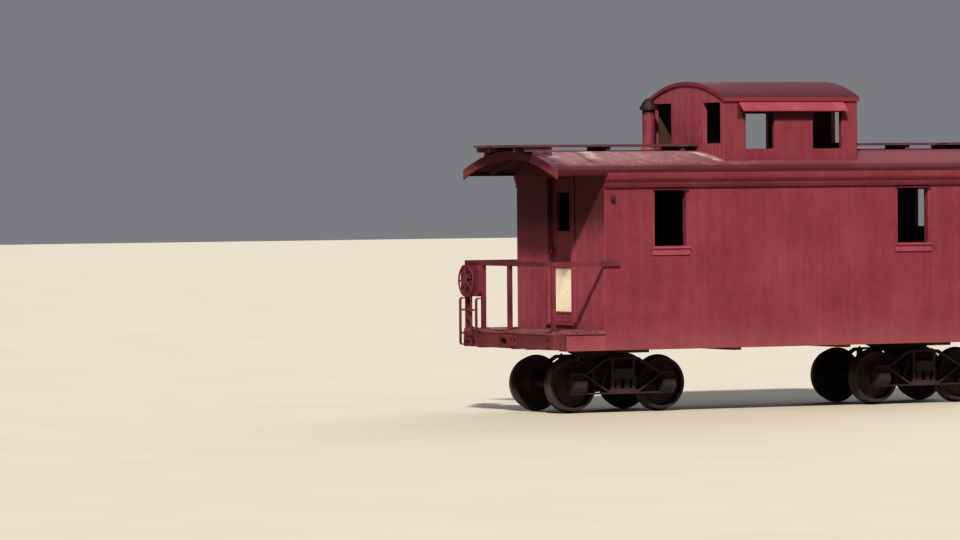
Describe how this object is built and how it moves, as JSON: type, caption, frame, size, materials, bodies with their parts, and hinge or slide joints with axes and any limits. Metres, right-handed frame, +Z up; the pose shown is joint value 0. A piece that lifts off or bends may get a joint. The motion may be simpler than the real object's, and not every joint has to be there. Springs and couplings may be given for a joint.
{
  "type": "narrow-gauge cupola caboose",
  "caption": "Wooden narrow-gauge rail caboose with a windowed cupola, railed end platforms, swivelling arch-bar trucks, rolling wheelsets and hinged end doors.",
  "frame": {"origin": "middle of the car at the level of the floor that the wheel flanges stand on", "axes": "+Z up, +X along the car away from the end with the smoke jack, -Y towards the near side"},
  "size_m": [7.17, 2.47, 4.14],
  "materials": {
    "body_red": "faded red paint on boards",
    "sill_red": "dark red paint on timber",
    "roof_red": "chalky red paint, worn pale",
    "walk_boards": "weathered red paint on planks",
    "floor_boards": "worn planks with remains of red paint",
    "railing_red": "red paint on iron",
    "jack_red": "red paint with a sooty cap",
    "pocket_iron": "red paint on rough iron",
    "running_gear_black": "black, oily and dusty",
    "stove_iron": "black iron",
    "cabin_paint": "dull cabin paint",
    "cream_paint": "cream paint",
    "wheel_iron": "dark iron with a worn tread"
  },
  "bodies": {
    "carbody": {"side_sills": "body_red", "center_sills": "sill_red", "end_sill_left": "sill_red", "end_sill_right": "sill_red", "body_bolsters": "running_gear_black", "needle_beams": "sill_red", "brake_cylinder": "running_gear_black", "air_reservoir": "running_gear_black", "floor_deck": "floor_boards", "side_wall_near": "body_red", "side_wall_far": "body_red", "end_wall_left": "body_red", "end_wall_right": "body_red", "letterboards": "body_red", "roof": "roof_red", "eave_fascias": "body_red", "roof_end_left": "body_red", "roof_end_right": "body_red", "roof_walk_left": "walk_boards", "roof_walk_right": "walk_boards", "cupola_side_near": "body_red", "cupola_side_far": "body_red", "cupola_end_left": "body_red", "cupola_end_right": "body_red", "cupola_roof": "roof_red", "cupola_hoods": "body_red", "window_trim": "body_red", "railing_left": "railing_red", "railing_right": "railing_red", "ladder_left": "railing_red", "ladder_right": "railing_red", "hand_brake_left": "railing_red", "hand_brake_right": "railing_red", "drawbar_pocket_left": "pocket_iron", "drawbar_pocket_right": "pocket_iron", "lamp_brackets": "pocket_iron", "stove": "stove_iron", "smoke_jack": "jack_red", "locker_near": "cabin_paint", "locker_far": "cabin_paint"},
    "truck_left": {"truck_left_frame_near": "running_gear_black", "truck_left_frame_far": "running_gear_black", "truck_left_bolster": "running_gear_black", "truck_left_springs": "running_gear_black", "truck_left_brakes": "running_gear_black"},
    "truck_right": {"truck_right_frame_near": "running_gear_black", "truck_right_frame_far": "running_gear_black", "truck_right_bolster": "running_gear_black", "truck_right_springs": "running_gear_black", "truck_right_brakes": "running_gear_black"},
    "wheelset_1": {"wheelset_1": "wheel_iron"},
    "wheelset_2": {"wheelset_2": "wheel_iron"},
    "wheelset_3": {"wheelset_3": "wheel_iron"},
    "wheelset_4": {"wheelset_4": "wheel_iron"},
    "door_left": {"door_left": "body_red", "door_panel_left": "cream_paint"},
    "door_right": {"door_right": "body_red", "door_panel_right": "cream_paint"}
  },
  "joints": [
    {"name": "truck_left_swivel", "type": "hinge", "parent": "carbody", "child": "truck_left", "pos_m": [-2.21, 0, 0.64], "axis": [0, 0, 1], "range_deg": [-6, 6]},
    {"name": "truck_right_swivel", "type": "hinge", "parent": "carbody", "child": "truck_right", "pos_m": [2.21, 0, 0.64], "axis": [0, 0, 1], "range_deg": [-6, 6]},
    {"name": "wheelset_1_roll", "type": "hinge", "parent": "truck_left", "child": "wheelset_1", "pos_m": [-2.8425, 0, 0.355], "axis": [0, 1, 0], "continuous": true},
    {"name": "wheelset_2_roll", "type": "hinge", "parent": "truck_left", "child": "wheelset_2", "pos_m": [-1.5775, 0, 0.355], "axis": [0, 1, 0], "continuous": true},
    {"name": "wheelset_3_roll", "type": "hinge", "parent": "truck_right", "child": "wheelset_3", "pos_m": [1.5775, 0, 0.355], "axis": [0, 1, 0], "continuous": true},
    {"name": "wheelset_4_roll", "type": "hinge", "parent": "truck_right", "child": "wheelset_4", "pos_m": [2.8425, 0, 0.355], "axis": [0, 1, 0], "continuous": true},
    {"name": "door_left_hinge", "type": "hinge", "parent": "carbody", "child": "door_left", "pos_m": [-2.616, -0.3035, 2.03], "axis": [0, 0, -1], "range_deg": [0, 95]},
    {"name": "door_right_hinge", "type": "hinge", "parent": "carbody", "child": "door_right", "pos_m": [2.616, 0.3035, 2.03], "axis": [0, 0, -1], "range_deg": [0, 95]}
  ]
}
